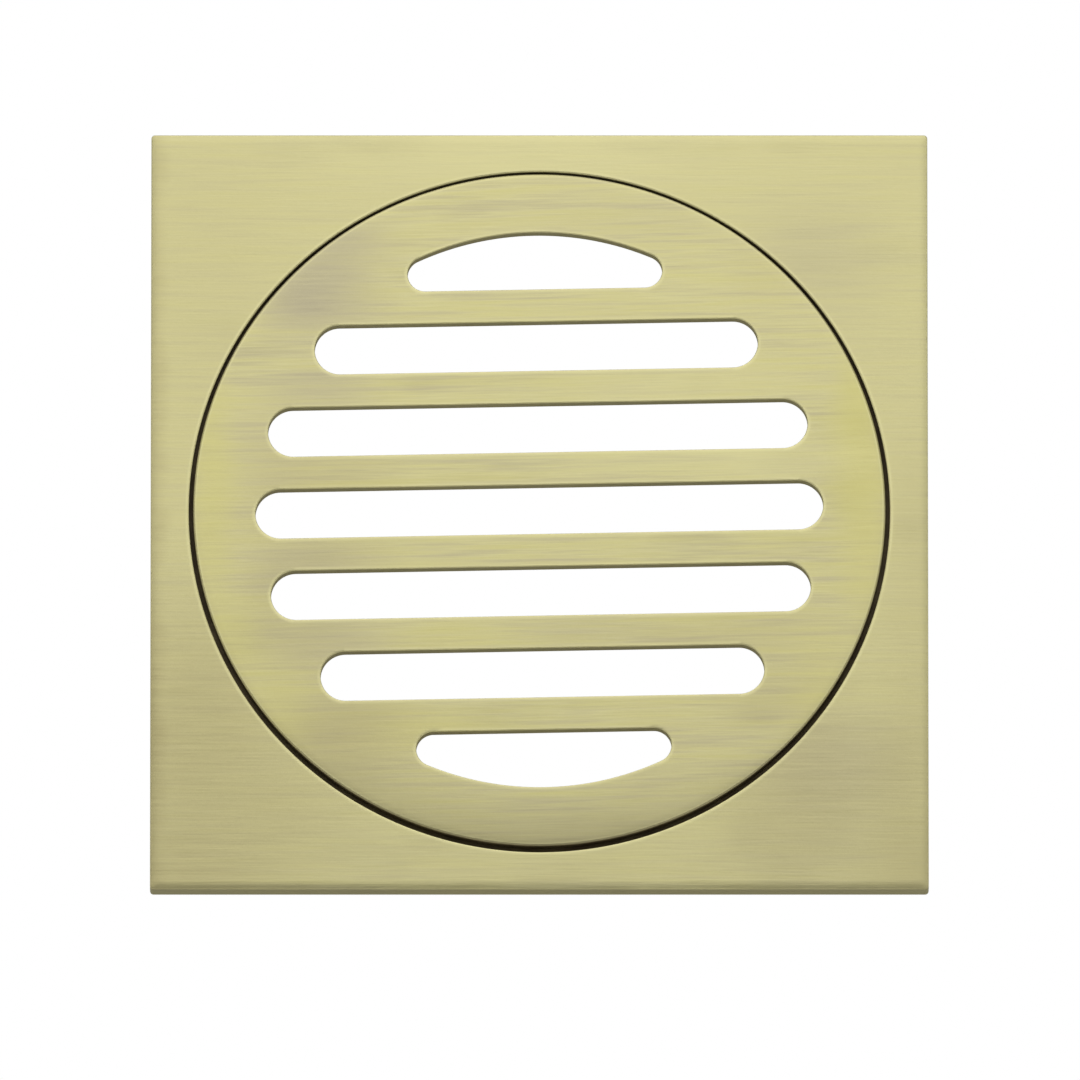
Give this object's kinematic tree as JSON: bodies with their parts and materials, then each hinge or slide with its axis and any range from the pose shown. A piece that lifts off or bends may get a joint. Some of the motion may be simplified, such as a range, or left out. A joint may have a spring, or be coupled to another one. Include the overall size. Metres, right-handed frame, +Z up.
{
  "type": "floor drain grate",
  "caption": "Square floor drain frame with a round slotted grate that drops in flush, lifts out and turns freely; its outlet fits a 100 mm waste pipe.",
  "frame": {"origin": "centre of the outlet's foot, the lowest plane of the part", "axes": "+Z up, out of the floor; X along the brushing and very nearly along the slots; X and Y parallel to the flange's sides"},
  "size_m": [0.11, 0.11, 0.018],
  "materials": {
    "brushed_plate": "fine straight brushing, champagne bronze colour, satin",
    "brushed_grate": "fine straight brushing along the slots, champagne bronze colour, satin",
    "turned_outlet": "lathe turned, unplated, satin",
    "seal_rubber": "moulded, matt black"
  },
  "bodies": {
    "frame": {"flange_plate": "brushed_plate", "outlet_ring": "turned_outlet"},
    "sealing_ring": {"o_ring": "seal_rubber"},
    "slotted_grate": {"grate": "brushed_grate"}
  },
  "joints": [
    {"name": "grate_lift", "type": "slide", "parent": "frame", "child": "sealing_ring", "axis": [0, 0, 1], "range_m": [0, 0.03]},
    {"name": "grate_turn", "type": "hinge", "parent": "sealing_ring", "child": "slotted_grate", "pos_m": [0, 0.0003, 0.016], "axis": [0, 0, 1], "continuous": true}
  ]
}
